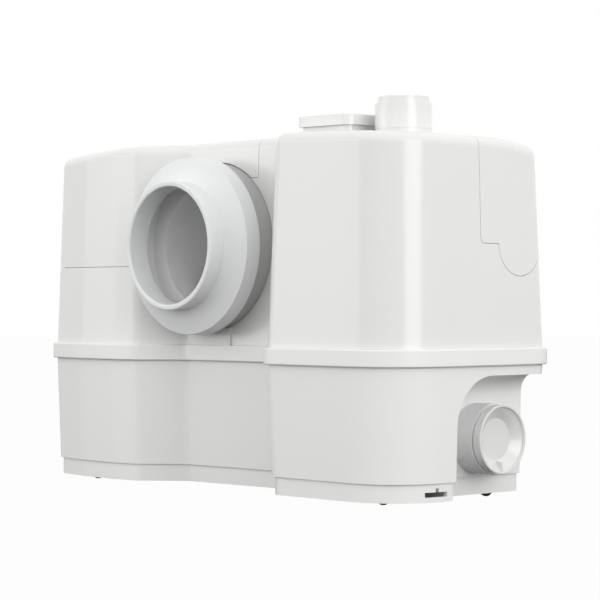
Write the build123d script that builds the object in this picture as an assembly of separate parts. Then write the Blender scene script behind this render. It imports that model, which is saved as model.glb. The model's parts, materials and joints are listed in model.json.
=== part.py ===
from build123d import *
import math
import os

os.makedirs("parts", exist_ok=True)

# Body plan at the waist: the rear is -Y, the block with the pipe connections is at +X
half_length = 204.0
half_depth = 82.5
front_corner_drop = 4.0
front_flat_inset = 94.0
left_rear_inset = 28.5
wing_knee_run = 44.0
wing_knee_inset = 19.0
wing_peak_run = 88.0
wing_peak_inset = 15.3
wing_turn_run = 113.0
wing_turn_inset = 18.2
recess_left_run = 143.0
recess_depth = 44.1
block_length = 139.0
block_left_inset = 3.8
block_crease_inset = 52.0
front_corner_radius = 17.0
left_rear_radius = 9.0
knee_radius = 60.0
peak_radius = 40.0
turn_radius = 14.0
recess_left_radius = 10.0
recess_right_radius = 8.0
block_left_radius = 14.0
block_right_radius = 42.0
least_radius = 1.5
upright_share = 0.9
middle_share = 0.5

# Levels, walls and drafts
foot_height = 3.0
skirt_height = 13.0
floor_thickness = 3.0
tank_wall = 3.0
cover_wall = 3.0
skirt_inset = 3.9
wall_foot_inset = 2.3
band_bottom = 96.0
band_height = 12.0
band_proud = 3.2
band_edge_radius = 0.9
deck_thickness = 3.0
deck_bottom = 101.0
seal_height = 2.0
seal_margin = 0.4
lap_clearance = 0.2
rim_clearance = 0.3
loft_top = 275.0
loft_top_inset = 5.0

# Crown of the top
crown_height = 262.4
crown_x = 10.0
crown_radius = 3300.0
crown_fall_y = 15.0
crown_fall_radius = 260.0
margin = 30.0
top_edge_radius = 8.0
inner_edge_radius = 5.0

# Seam between the fixed housing and the lift-off cover, with a lap strip behind it
seam_gap = 0.4
seam_offset = 46.5
seam_y = 4.5
seam_left_z = 167.5
seam_right_z = 181.6
seam_inlet_z = 233.0
seam_overlap = 5.0
seam_corner_radius = 4.0
lobe_inset = 36.5
lobe_radius = 22.8
lobe_depth = 40.0
lap_reach = 5.0
lap_gap = 0.3
lap_thickness = 1.8

# Pan inlet: rubber collar, neck and elbow
inlet_run = 173.5
inlet_z = 182.5
collar_mouth_proud = 1.5
mouth_radius = 48.2
mouth_bore_radius = 44.0
mouth_lip_round = 1.2
collar_cylinder = 13.0
collar_cone_end = 19.5
collar_cone_radius = 66.2
collar_length = 31.5
collar_rear_radius = 67.0
collar_lip_end = 17.5
collar_lip_step = 1.8
collar_wall = 3.0
collar_grip = 9.2
neck_radius = 63.0
neck_wall = 3.0
neck_reach = 31.5
neck_clearance = 0.3
neck_plate_depth = 15.5
neck_plate_thickness = 3.0
elbow_radius = 50.0
elbow_bore_radius = 46.0
elbow_bend = 55.0
elbow_bend_inset = 49.5
elbow_dip = 7.0
elbow_seal_height = 5.0
elbow_seal_width = 4.0
small_clearance = 0.15
pocket_clearance = 1.5
pad_half_width = 20.5
pad_height = 13.0
pad_proud = 1.6

# Side inlet niche, spigot, sleeve and stopper
niche_depth = 29.5
niche_inset = 61.5
niche_corner_radius = 36.0
niche_ceiling_z = 89.0
niche_fillet = 13.0
side_inset = 52.5
side_z = 43.4
spigot_radius = 20.0
spigot_bore_radius = 17.0
spigot_inner_reach = 15.0
spigot_length = 18.0
sleeve_radius = 25.3
sleeve_start_gap = 0.3
stopper_gap = 1.2
stopper_length = 6.5
stopper_radius = 24.7
stopper_rim = 1.8
stopper_annulus_depth = 3.5
stopper_disc_depth = 7.0
stopper_disc_radius = 15.0
stopper_floor = 1.6
stopper_plug_clearance = 0.2
stopper_plug_length = 18.0
stopper_rib_width = 1.0
flap_thickness = 1.8
flap_gap = 0.3
inlet_flap_radius = 19.5
inlet_flap_rise = 22.6
inlet_flap_offset = 3.0
flap_arm_width = 9.0
hinge_pin_radius = 1.5
hinge_barrel_radius = 2.8
hinge_barrel_length = 10.0
hinge_clearance = 0.1
ear_width = 3.0
ear_margin = 0.7

# Feet and floor anchor slots
foot_radius = 5.5
foot_flat_radius = 3.5
foot_stem_depth = 3.0
foot_post_wall = 1.6
foot_clearance = 0.1
foot_right_inset = 39.5
foot_left_inset = 41.0
foot_rear_right_inset = 27.5
foot_rear_left_inset = 40.5
foot_front_inset = 30.5
slot_rear_inset = 33.5
slot_front_inset = 54.0
slot_bottom_z = 6.6
slot_top_z = 10.0
slot_tab_rear_inset = 42.5
slot_tab_front_inset = 45.7
slot_tab_z = 12.6
slot_reach = 16.0

# Motor over the tank, pump and cutter below it, all on one upright axis
motor_inset = 60.0
motor_rear_inset = 74.5
motor_radius = 44.0
can_wall = 2.0
mount_plate_margin = 5.0
mount_plate_height = 6.0
motor_ear_radius = 7.0
motor_ear_circle = 52.0
motor_screw_count = 4
motor_screw_angle = 45.0
can_height = 116.0
end_cap_plate = 4.0
bearing_housing_wall = 3.5
bearing_radius = 13.0
bearing_height = 8.0
bearing_shoulder = 2.0
shaft_radius = 5.0
shaft_lower_radius = 4.0
running_clearance = 0.05
stator_bore_radius = 24.5
stator_rise = 30.0
stator_height = 55.0
stator_slots = 12
stator_slot_width = 5.0
stator_slot_depth = 9.0
winding_height = 14.0
winding_inner_radius = 27.0
winding_outer_radius = 39.0
winding_round = 4.0
rotor_air_gap = 0.5
shaft_top_gap = 1.5
seal_radius = 11.0
seal_body_height = 5.5

column_radius = 30.0
column_wall = 2.5
column_windows = 4
window_width = 22.0
window_bottom_z = 60.0
window_top_z = 88.0
casing_bottom_z = 32.0
casing_top_z = 55.0
casing_plate = 3.0
chamber_radius = 26.5
suction_radius = 14.0
impeller_radius = 25.0
impeller_disc = 2.0
vane_height = 6.0
vane_thickness = 2.4
vane_count = 6
vane_angle = 35.0
impeller_gap = 1.0
hub_radius = 8.0
cutter_ring_radius = 28.5
cutter_ring_wall = 2.5
cutter_ring_height = 11.0
cutter_ring_slots = 18
cutter_slot_width = 3.6
cutter_slot_height = 7.0
blade_reach = 24.0
blade_width = 9.0
blade_thickness = 2.5
blade_count = 2
blade_bottom_z = 24.0
nut_across = 13.0
nut_height = 4.0
shaft_tip = 1.5
nozzle_z = 43.5
nozzle_reach = 42.0

# Pressure pipe, non-return valve and discharge stub
discharge_inset = 52.5
discharge_rear_inset = 61.5
pipe_radius = 11.0
pipe_bore_radius = 8.0
pipe_gap = 1.0
pipe_bend = 24.0
hose_wall = 3.0
hose_half = 12.0
clamp_width = 7.0
clamp_thickness = 1.0
clamp_ear = 5.0
clamp_inset = 5.5
valve_neck_length = 18.0
valve_neck_radius = 14.0
valve_bottom_z = 158.0
valve_plate = 4.0
valve_height = 42.0
valve_radius = 25.0
valve_wall = 3.0
valve_seat_radius = 9.0
valve_flap_radius = 12.0
valve_hinge_reach = 15.5
valve_hinge_rise = 4.0
stub_flange_radius = 28.0
stub_flange_height = 4.0
stub_root_radius = 20.0
stub_radius = 20.35
stub_start_z = 262.5
stub_step_z = 280.5
stub_end_radius = 18.25
stub_end_z = 285.5
stub_bore_radius = 15.5
stub_edge_radius = 0.8
stub_clearance = 0.65

# Vent
vent_inset = 104.5
vent_rear_inset = 58.5
vent_cap_half = 27.5
vent_cap_corner = 8.0
vent_cap_bottom_z = 266.3
vent_cap_top_z = 274.0
vent_cap_wall = 2.5
vent_cap_round = 1.2
vent_neck_inset = 3.0
vent_neck_wall = 2.5
vent_neck_height = 17.5
vent_ledge_width = 4.0
vent_ledge_height = 2.0
filter_height = 9.0
filter_grooves = 4
filter_groove_width = 2.0
filter_groove_depth = 3.0
cap_skirt_depth = 4.0

# Level sensing and electrics on the deck
bell_inset = 124.0
bell_front_inset = 38.5
bell_radius = 13.0
bell_wall = 2.0
bell_bottom_z = 26.0
bell_drop = 3.0
bell_neck_radius = 6.0
bell_bore_radius = 3.0
switch_radius = 21.0
switch_rise = 10.0
switch_height = 22.0
switch_rim = 2.5
switch_rim_height = 4.0
plunger_radius = 2.2
plunger_travel = 1.2
plunger_depth = 6.0
plunger_head_radius = 3.4
plunger_head_height = 1.8
micro_length = 22.0
micro_width = 9.0
micro_height = 12.0
box_far_inset = 82.0
box_near_inset = 14.0
box_rear_inset = 62.5
box_front_inset = 16.5
box_height = 46.0
box_wall = 2.0
box_corner = 5.0
box_lid_height = 6.0
box_lip = 3.0
board_thickness = 1.6
board_margin = 4.0
board_rise = 7.0
board_post_radius = 3.0
capacitor_radius = 8.8
capacitor_length = 42.0
gland_inset = 144.0
gland_z = 135.0
gland_radius = 9.0
gland_flange_radius = 12.0
gland_flange = 2.4
gland_bore_radius = 3.6
gland_length = 14.0
gland_nut_width = 4.0

# Screws and their bosses
screw_radius = 2.0
screw_head_radius = 4.0
screw_head_height = 2.6
screw_hole_clearance = 0.1
screw_socket_radius = 1.6
screw_socket_depth = 1.4
screw_length = 14.0
boss_radius = 6.0
boss_height = 18.0
motor_boss_height = 9.0

# Places measured in from the ends and the long sides
wing_knee_x = wing_knee_run - half_length
wing_peak_x = wing_peak_run - half_length
wing_turn_x = wing_turn_run - half_length
recess_left_x = recess_left_run - half_length
foot_left_x = foot_left_inset - half_length
motor_x = motor_inset - half_length
inlet_x = inlet_run - half_length
front_flat_x = half_length - front_flat_inset
block_left_x = half_length - block_length
block_crease_x = half_length - block_crease_inset
niche_x = half_length - niche_depth
foot_right_x = half_length - foot_right_inset
discharge_x = half_length - discharge_inset
vent_x = half_length - vent_inset
bell_x = half_length - bell_inset
box_left_x = half_length - box_far_inset
box_right_x = half_length - box_near_inset
gland_x = half_length - gland_inset
left_rear_y = left_rear_inset - half_depth
wing_knee_y = wing_knee_inset - half_depth
wing_peak_y = wing_peak_inset - half_depth
wing_turn_y = wing_turn_inset - half_depth
recess_y = recess_depth - half_depth
block_left_y = block_left_inset - half_depth
elbow_bend_y = elbow_bend_inset - half_depth
niche_y = niche_inset - half_depth
foot_rear_right_y = foot_rear_right_inset - half_depth
foot_rear_left_y = foot_rear_left_inset - half_depth
slot_rear_y = slot_rear_inset - half_depth
slot_front_y = slot_front_inset - half_depth
slot_tab_rear_y = slot_tab_rear_inset - half_depth
slot_tab_front_y = slot_tab_front_inset - half_depth
discharge_y = discharge_rear_inset - half_depth
vent_y = vent_rear_inset - half_depth
motor_y = motor_rear_inset - half_depth
front_corner_y = half_depth - front_corner_drop
side_y = half_depth - side_inset
foot_front_y = half_depth - foot_front_inset
bell_y = half_depth - bell_front_inset
box_rear_y = half_depth - box_rear_inset
box_front_y = half_depth - box_front_inset
lobe_y = half_depth - lobe_inset
collar_mouth_y = -half_depth - collar_mouth_proud
seam_x = inlet_x + seam_offset
pad_left_x = inlet_x - pad_half_width
pad_right_x = inlet_x + pad_half_width

# Derived levels and places
skirt_top = foot_height + skirt_height
floor_bottom = skirt_top - floor_thickness
skirt_step = skirt_inset - wall_foot_inset
band_top = band_bottom + band_height
deck_top = deck_bottom + deck_thickness
rim_top = deck_bottom - seal_height
draft_slope_share = loft_top_inset / (loft_top - deck_top)
spigot_inner_x = niche_x - spigot_inner_reach
spigot_end_x = niche_x + spigot_length
stopper_start_x = spigot_end_x + stopper_gap
stopper_end_x = stopper_start_x + stopper_length
collar_rear_y = collar_mouth_y + collar_length
neck_front_y = collar_rear_y - collar_grip + small_clearance
neck_rear_y = neck_front_y + neck_reach
can_bottom = deck_top + mount_plate_height
can_top = can_bottom + can_height
stator_bottom = can_bottom + stator_rise
stator_top = stator_bottom + stator_height
upper_bearing_z = can_top + end_cap_plate - bearing_shoulder - bearing_height
shaft_top = can_top + end_cap_plate - bearing_shoulder - shaft_top_gap
shaft_bottom = blade_bottom_z - nut_height - shaft_tip
impeller_bottom = casing_bottom_z + casing_plate + impeller_gap
impeller_top = impeller_bottom + vane_height + impeller_disc
nozzle_end_x = motor_x + nozzle_reach
pipe_start_x = nozzle_end_x + pipe_gap
valve_top = valve_bottom_z + valve_height
valve_hinge_x = discharge_x - valve_hinge_reach
valve_seat_z = valve_bottom_z + valve_plate
valve_hinge_z = valve_seat_z + valve_hinge_rise
inlet_hinge_x = spigot_inner_x - inlet_flap_offset
inlet_hinge_z = side_z + inlet_flap_rise
vent_neck_half = vent_cap_half - vent_neck_inset
vent_neck_corner = vent_cap_corner - vent_neck_inset
vent_neck_bottom = vent_cap_bottom_z - vent_neck_height
vent_bore_half = vent_neck_half - vent_neck_wall
vent_bore_corner = vent_neck_corner - vent_neck_wall
switch_bottom = deck_top + switch_rise
switch_top = switch_bottom + switch_height
micro_top = switch_top + micro_height
box_top = deck_top + box_height

corner_table = [
    (-half_length, left_rear_y, left_rear_radius),
    (wing_knee_x, wing_knee_y, knee_radius),
    (wing_peak_x, wing_peak_y, peak_radius),
    (wing_turn_x, wing_turn_y, turn_radius),
    (recess_left_x, recess_y, recess_left_radius),
    (block_left_x, recess_y, recess_right_radius),
    (block_left_x, block_left_y, block_left_radius),
    (block_crease_x, -half_depth, 0),
    (half_length, -half_depth, block_right_radius),
    (half_length, front_corner_y, front_corner_radius),
    (front_flat_x, half_depth, 0),
    (-front_flat_x, half_depth, 0),
    (-half_length, front_corner_y, front_corner_radius),
]

foot_table = [
    (foot_right_x, foot_rear_right_y),
    (foot_right_x, foot_front_y),
    (foot_left_x, foot_rear_left_y),
    (foot_left_x, foot_front_y),
]

# Deck screws stand a boss radius in from the tank wall
boss_inset = tank_wall + boss_radius
corner_inset = block_right_radius - (block_right_radius - boss_inset) * math.sqrt(middle_share)
screw_table = [
    (-half_length + boss_inset + foot_height, front_corner_y - boss_inset - foot_height),
    (-half_length + boss_inset + foot_height, left_rear_y + boss_inset),
    (block_left_x - boss_inset, recess_y + boss_inset),
    (bell_x / 2, half_depth - boss_inset),
    (wing_turn_x, half_depth - boss_inset - foot_height),
    (niche_x - boss_inset - tank_wall, half_depth - boss_inset - foot_height),
    (half_length - corner_inset, -half_depth + corner_inset),
    (block_left_x + boss_inset + foot_height, block_left_y + boss_inset),
]

low = (Align.CENTER, Align.CENTER, Align.MIN)


# Plan corners moved inwards: a draft keeps the corner radii, a wall changes them
def plan_corners(draft, wall):
    count = len(corner_table)
    corners = []
    for index in range(count):
        before = corner_table[index - 1]
        here = corner_table[index]
        after = corner_table[(index + 1) % count]
        run_in = (here[0] - before[0], here[1] - before[1])
        run_out = (after[0] - here[0], after[1] - here[1])
        length_in = math.hypot(*run_in)
        length_out = math.hypot(*run_out)
        normal_in = (-run_in[1] / length_in, run_in[0] / length_in)
        normal_out = (-run_out[1] / length_out, run_out[0] / length_out)
        spread = 1 + normal_in[0] * normal_out[0] + normal_in[1] * normal_out[1]
        step = (draft + wall) / spread
        x = here[0] + step * (normal_in[0] + normal_out[0])
        y = here[1] + step * (normal_in[1] + normal_out[1])
        turn = run_in[0] * run_out[1] - run_in[1] * run_out[0]
        radius = here[2] - wall if turn > 0 else here[2] + wall
        corners.append((x, y, max(radius, least_radius) if here[2] else 0))
    return corners


# A solid between two levels with plane drafted sides and rounded upright edges
def plan_solid(bottom, top, bottom_draft=0, top_draft=0, wall=0):
    low_corners = plan_corners(bottom_draft, wall)
    high_corners = plan_corners(top_draft, wall)
    low_wire = Wire.make_polygon([Vector(x, y, bottom) for x, y, _ in low_corners], close=True)
    high_wire = Wire.make_polygon([Vector(x, y, top) for x, y, _ in high_corners], close=True)
    solid = solid_of(loft([Face(low_wire), Face(high_wire)], ruled=True))
    for x, y, radius in low_corners:
        if radius:
            foot = Vector(x, y, bottom)
            solid = solid.fillet(radius, [edge for edge in solid.edges() if rises_from(edge, foot)])
    return solid


def rises_from(edge, foot):
    upright = abs(edge.tangent_at(middle_share).Z) > upright_share
    return upright and min((Vector(vertex) - foot).length for vertex in edge.vertices()) < small_clearance


def block(x0, x1, y0, y1, z0, z1):
    size = (x1 - x0, y1 - y0, z1 - z0)
    return Pos((x0 + x1) / 2, (y0 + y1) / 2, (z0 + z1) / 2) * Box(*size)


def post(radius, bottom, top, x=0, y=0):
    return Pos(x, y, bottom) * Cylinder(radius, top - bottom, align=low)


def tube(outer, inner, bottom, top, x=0, y=0):
    return post(outer, bottom, top, x, y) - post(inner, bottom, top, x, y)


def rod_x(radius, start, end, y, z):
    return Pos(start, y, z) * Rot(0, 90, 0) * Cylinder(radius, end - start, align=low)


def rod_y(radius, start, end, x, z):
    return Pos(x, start, z) * Rot(-90, 0, 0) * Cylinder(radius, end - start, align=low)


def tube_x(outer, inner, start, end, y, z):
    return rod_x(outer, start, end, y, z) - rod_x(inner, start, end, y, z)


def tube_y(outer, inner, start, end, x, z):
    return rod_y(outer, start, end, x, z) - rod_y(inner, start, end, x, z)


def rounded_block(half_x, half_y, corner, bottom, top, x, y):
    sketch = Pos(x, y, bottom) * RectangleRounded(2 * half_x, 2 * half_y, corner)
    return extrude(sketch, amount=top - bottom)


def bent_rod(radius, points, bend):
    path = FilletPolyline(*points, radius=bend)
    section = Plane(origin=path @ 0, z_dir=path % 0) * Circle(radius)
    return sweep(section, path=path)


def bent_tube(outer, inner, points, bend):
    return bent_rod(outer, points, bend) - bent_rod(inner, points, bend)


def solid_of(shape):
    return max(shape.solids(), key=lambda solid: solid.volume)


def save(node, *shapes):
    solids = [solid for shape in shapes for solid in shape.solids()]
    shape = solids[0] if len(solids) == 1 else Compound(children=solids)
    shape.label = node
    export_step(shape, f"parts/{node}.step")


# Everything under the crowned top, which is level at the rear and falls to the front
def crown_solid(drop):
    top = crown_height - drop
    half = half_depth + margin
    fall_radius = crown_fall_radius - drop
    fall_run = half - crown_fall_y
    fall_z = top - fall_radius + math.sqrt(fall_radius ** 2 - fall_run ** 2)
    mid_run = fall_run / 2
    mid_z = top - fall_radius + math.sqrt(fall_radius ** 2 - mid_run ** 2)
    rear_foot, front_foot = (0, -half, 0), (0, half, 0)
    rear_top, crest, front_top = (0, -half, top), (0, crown_fall_y, top), (0, half, fall_z)
    outline = [
        Line(rear_foot, rear_top),
        Line(rear_top, crest),
        ThreePointArc(crest, (0, crown_fall_y + mid_run, mid_z), front_top),
        Line(front_top, front_foot),
        Line(front_foot, rear_foot),
    ]
    face = Face(Wire([edge for part in outline for edge in part.edges()]))
    axis = Axis((0, 0, crown_height - crown_radius), (0, 1, 0))
    reach = half_length + crown_x + margin
    angle = 2 * math.degrees(math.asin(reach / crown_radius))
    return Pos(crown_x, 0, 0) * revolve(face.rotate(axis, -angle / 2), axis=axis, revolution_arc=angle)


def body_solid(wall, edge_radius):
    solid = plan_solid(deck_top, loft_top, 0, loft_top_inset, wall)
    solid = solid_of(solid & crown_solid(wall))
    if edge_radius:
        top_face = max(solid.faces(), key=lambda face: face.center().Z)
        solid = solid.fillet(edge_radius, top_face.edges())
    return solid - collar_pocket(wall)


# The space that belongs to the lift-off cover, drawn back from the seam by a gap
def cover_region(gap):
    far = half_length + margin
    top = loft_top + margin
    over_left = block(-far, seam_x - gap, -far, far, seam_left_z + gap, top)
    over_front = block(seam_x - seam_overlap, far, seam_y + gap, far, seam_right_z + gap, top)
    corner = over_front.edges().filter_by(Axis.X).group_by(Axis.Z)[0].sort_by(Axis.Y)[0]
    over_front = over_front.fillet(max(seam_corner_radius - gap, least_radius), [corner])
    lobe = rod_x(lobe_radius - gap, half_length - lobe_depth, far, lobe_y, seam_right_z)
    wall_y = recess_y / 2
    radius = neck_radius + neck_clearance + gap
    notch = rod_y(radius, -far, wall_y, inlet_x, inlet_z)
    left_side = block(inlet_x - radius, inlet_x, -far, wall_y, 0, inlet_z)
    right_side = block(inlet_x, far, -far, wall_y, 0, seam_inlet_z + gap)
    return over_left + over_front + lobe - notch - left_side - right_side


def inlet_clearance():
    return rod_y(neck_radius + neck_clearance, -half_depth, 0, inlet_x, inlet_z)


# Round pocket in the left wing that leaves room for the collar's rim
def collar_pocket(grow):
    radius = collar_rear_radius + pocket_clearance + grow
    return rod_y(radius, -half_depth - margin, recess_y + grow, inlet_x, inlet_z)


# One moulded skin split along the seam; the fixed half carries the lap strip
def upper_casing():
    outer = body_solid(0, top_edge_radius)
    inner = body_solid(cover_wall, inner_edge_radius)
    skin = outer - inner
    region = cover_region(0)
    fixed = skin - region
    cover = skin & cover_region(seam_gap)
    lap_inner = body_solid(cover_wall + lap_gap + lap_thickness, 0)
    root = (inner - lap_inner) & (cover_region(-lap_reach) - region)
    tongue_outer = body_solid(cover_wall + lap_gap, inner_edge_radius - lap_gap)
    tongue = (tongue_outer - lap_inner) & (region - cover_region(lap_reach))
    fixed = fixed + root + tongue
    fixed -= inlet_clearance()
    fixed -= post(stub_root_radius + stub_clearance, valve_top, stub_end_z, discharge_x, discharge_y)
    fixed -= rounded_block(
        vent_neck_half + rim_clearance, vent_neck_half + rim_clearance,
        vent_neck_corner + rim_clearance, vent_neck_bottom, vent_cap_top_z, vent_x, vent_y,
    )
    fixed -= rod_y(gland_radius + small_clearance, half_depth - gland_length, half_depth, gland_x, gland_z)
    pad_y = recess_y - pad_proud
    pad = block(pad_left_x, pad_right_x, pad_y, recess_y + cover_wall / 2, band_top, band_top + pad_height)
    fixed += pad - rod_y(neck_radius + neck_clearance, -half_depth, 0, inlet_x, inlet_z)
    return solid_of(fixed), solid_of(cover)


# The niche for the side inlet, grown by a wall for the skins round it
def niche_cut(grow):
    far = half_length + margin
    front = half_depth + margin
    rear = niche_y - grow
    ceiling = niche_ceiling_z + grow
    radius = niche_corner_radius + grow
    face_x = niche_x - grow
    sketch = Plane.YZ.offset(face_x) * make_face(
        Line((rear, 0), (rear, ceiling - radius))
        + ThreePointArc(
            (rear, ceiling - radius),
            (rear + radius - radius * math.sqrt(middle_share), ceiling - radius + radius * math.sqrt(middle_share)),
            (rear + radius, ceiling),
        )
        + Line((rear + radius, ceiling), (front, ceiling))
        + Line((front, ceiling), (front, 0))
        + Line((front, 0), (rear, 0))
    )
    solid = solid_of(extrude(sketch, amount=far - face_x))
    face = min(solid.faces(), key=lambda item: item.center().X)
    rounded = [edge for edge in face.edges() if edge.center().Z > small_clearance and edge.center().Y < half_depth]
    return solid.fillet(niche_fillet + grow, rounded)


def skirt_niche_cut(grow):
    rear = niche_y - skirt_step - grow
    return block(niche_x - skirt_step - grow, half_length + margin, rear, half_depth + margin, 0, skirt_top)


def tank():
    skirt = plan_solid(foot_height, skirt_top, skirt_inset, skirt_inset)
    walls = plan_solid(skirt_top, rim_top, wall_foot_inset, 0)
    shell = skirt + walls - niche_cut(0) - skirt_niche_cut(0)
    cavity = plan_solid(skirt_top, rim_top, wall_foot_inset, 0, tank_wall) - niche_cut(tank_wall)
    under = plan_solid(foot_height, floor_bottom, skirt_inset, skirt_inset, tank_wall)
    under -= skirt_niche_cut(tank_wall)
    shell = shell - cavity - under
    for x, y in foot_table:
        shell += post(foot_radius + foot_post_wall, foot_height, floor_bottom, x, y)
    for x, y in foot_table:
        shell -= post(foot_radius + foot_clearance, foot_height, foot_height + foot_stem_depth, x, y)
    inside = plan_solid(skirt_top, rim_top, wall_foot_inset, 0, tank_wall / 2)
    for x, y in screw_table:
        boss = post(boss_radius, rim_top - boss_height, rim_top, x, y)
        shell += boss & inside
    for x, y in screw_table:
        shell -= post(screw_radius + screw_hole_clearance, deck_top - screw_length, rim_top, x, y)
    shell += rod_x(spigot_radius, spigot_inner_x, spigot_end_x, side_y, side_z)
    ear_half = hinge_barrel_length / 2 + ear_margin
    ear_low = side_z + spigot_radius
    for side in (-1, 1):
        near = side_y + side * ear_half
        far = near + side * ear_width
        ear = block(inlet_hinge_x - hinge_barrel_radius, niche_x - tank_wall / 2,
                    min(near, far), max(near, far), ear_low, inlet_hinge_z + hinge_barrel_radius)
        shell += ear
    shell -= rod_y(hinge_pin_radius + running_clearance, side_y - spigot_radius, side_y + spigot_radius,
                   inlet_hinge_x, inlet_hinge_z)
    shell -= rod_x(spigot_bore_radius, spigot_inner_x, spigot_end_x, side_y, side_z)
    for side in (-1, 1):
        reach = [side * (half_length - slot_reach), side * (half_length + margin)]
        shell -= block(min(reach), max(reach), slot_rear_y, slot_front_y, slot_bottom_z, slot_top_z)
        shell -= block(min(reach), max(reach), slot_tab_rear_y, slot_tab_front_y, slot_bottom_z, slot_tab_z)
    return solid_of(shell)


def tank_seal():
    return plan_solid(rim_top, deck_bottom, 0, 0, seal_margin) - plan_solid(
        rim_top, deck_bottom, 0, 0, tank_wall - seal_margin)


def motor_ears():
    return [
        Pos(motor_x, motor_y, 0) * place
        for place in PolarLocations(motor_ear_circle, motor_screw_count, motor_screw_angle)
    ]


def tank_lid():
    band = plan_solid(band_bottom, band_top, 0, 0, -band_proud)
    rims = [edge for face in (band.faces().sort_by(Axis.Z)[0], band.faces().sort_by(Axis.Z)[-1])
            for edge in face.edges()]
    band = band.fillet(band_edge_radius, rims)
    band -= plan_solid(band_bottom, deck_bottom, 0, 0, -rim_clearance)
    band -= plan_solid(deck_top, band_top, 0, 0, -lap_clearance)
    for place in motor_ears():
        x, y = place.position.X, place.position.Y
        band += post(boss_radius, deck_bottom - motor_boss_height, deck_bottom, x, y)
        band -= post(screw_radius + screw_hole_clearance, deck_bottom - motor_boss_height, deck_top, x, y)
    for x, y in screw_table:
        band -= post(screw_radius + screw_hole_clearance, deck_bottom, deck_top, x, y)
    elbow_y = elbow_bend_y + elbow_bend
    band -= post(elbow_radius + small_clearance, deck_bottom, deck_top, inlet_x, elbow_y)
    band -= post(column_radius + small_clearance, deck_bottom, deck_top, motor_x, motor_y)
    band -= post(pipe_radius + rim_clearance, deck_bottom, deck_top, discharge_x, discharge_y)
    band -= post(bell_neck_radius + small_clearance, deck_bottom, deck_top, bell_x, bell_y)
    return solid_of(band)


def screw(x, y, seat, length):
    shape = post(screw_radius, seat - length, seat, x, y)
    shape += post(screw_head_radius, seat, seat + screw_head_height, x, y)
    top = seat + screw_head_height
    return shape - post(screw_socket_radius, top - screw_socket_depth, top, x, y)


# Rubber foot: a stem in the tank's post and a dome cut flat where it stands
def foot(x, y):
    stem = post(foot_radius, foot_height, foot_height + foot_stem_depth - foot_clearance, x, y)
    dome = Pos(x, y, 0) * Cone(foot_flat_radius, foot_radius, foot_height, align=low)
    return stem + dome


# Rubber collar, turned about the pan inlet's axis
def wc_collar():
    cone_slope = (collar_cone_end - collar_cylinder) / (collar_cone_radius - mouth_radius)
    wall_depth = collar_wall * math.sqrt(1 + cone_slope ** 2)
    lip_radius = mouth_bore_radius + collar_lip_step
    grip_radius = neck_radius + small_clearance
    lip_depth = collar_cylinder + wall_depth + (lip_radius - mouth_radius) * cone_slope
    grip_depth = collar_cylinder + wall_depth + (grip_radius - mouth_radius) * cone_slope
    profile = [
        (mouth_bore_radius, 0),
        (mouth_radius, 0),
        (mouth_radius, collar_cylinder),
        (collar_cone_radius, collar_cone_end),
        (collar_rear_radius, collar_length),
        (grip_radius, collar_length),
        (grip_radius, grip_depth),
        (lip_radius, lip_depth),
        (lip_radius, collar_lip_end),
        (mouth_bore_radius, collar_lip_end),
    ]
    points = [(0, collar_mouth_y + depth, radius) for radius, depth in profile]
    shape = solid_of(revolve(Face(Wire.make_polygon([Vector(*point) for point in points], close=True)), axis=Axis.Y))
    lips = [edge for edge in shape.edges() if edge.center().Y < collar_mouth_y + small_clearance]
    return Pos(inlet_x, 0, inlet_z) * shape.fillet(mouth_lip_round, lips)


def elbow_points(bottom):
    y_down = elbow_bend_y + elbow_bend
    return [(inlet_x, neck_front_y + neck_plate_depth, inlet_z), (inlet_x, y_down, inlet_z), (inlet_x, y_down, bottom)]


def wc_elbow():
    plate_y = neck_front_y + neck_plate_depth
    shape = tube_y(neck_radius, neck_radius - neck_wall, neck_front_y, neck_rear_y, inlet_x, inlet_z)
    shape += tube_y(neck_radius, elbow_bore_radius, plate_y, plate_y + neck_plate_thickness, inlet_x, inlet_z)
    points = elbow_points(deck_bottom - elbow_dip)
    shape += bent_rod(elbow_radius, points, elbow_bend)
    return solid_of(shape - bent_rod(elbow_bore_radius, points, elbow_bend))


def elbow_seal():
    inner = elbow_radius + small_clearance
    return tube(inner + elbow_seal_width, inner, deck_top, deck_top + elbow_seal_height,
                inlet_x, elbow_bend_y + elbow_bend)


def stopper():
    def span(outer, start, end):
        return rod_x(outer, start, end, side_y, side_z)

    plug_radius = spigot_bore_radius - stopper_plug_clearance
    rim_bore = stopper_radius - stopper_rim
    annulus_x = stopper_end_x - stopper_annulus_depth
    disc_x = stopper_end_x - stopper_disc_depth
    shape = span(stopper_radius, stopper_start_x, stopper_end_x)
    shape -= span(rim_bore, annulus_x, stopper_end_x)
    shape -= span(rim_bore, stopper_start_x, annulus_x - stopper_floor)
    shape += span(plug_radius, stopper_start_x - stopper_plug_length, annulus_x - stopper_floor / 2)
    shape -= span(stopper_disc_radius, disc_x, stopper_end_x)
    shape -= span(stopper_disc_radius, stopper_start_x - stopper_plug_length, disc_x - stopper_floor)
    half = stopper_rib_width / 2
    shape += block(annulus_x - stopper_floor / 2, stopper_end_x, side_y - half, side_y + half,
                   side_z - rim_bore - stopper_rim / 2, side_z - stopper_disc_radius)
    return solid_of(shape)


def inlet_flap():
    seat_x = spigot_inner_x - flap_gap
    disc = rod_x(inlet_flap_radius, seat_x - flap_thickness, seat_x, side_y, side_z)
    half = flap_arm_width / 2
    arm = block(seat_x - flap_thickness, seat_x, side_y - half, side_y + half, side_z, inlet_hinge_z)
    return hinged(disc + arm, inlet_hinge_x, side_y, inlet_hinge_z)


def hinged(leaf, x, y, z):
    half = hinge_barrel_length / 2
    leaf += rod_y(hinge_barrel_radius, y - half, y + half, x, z)
    return solid_of(leaf - rod_y(hinge_pin_radius + hinge_clearance, y - half, y + half, x, z))


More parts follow.
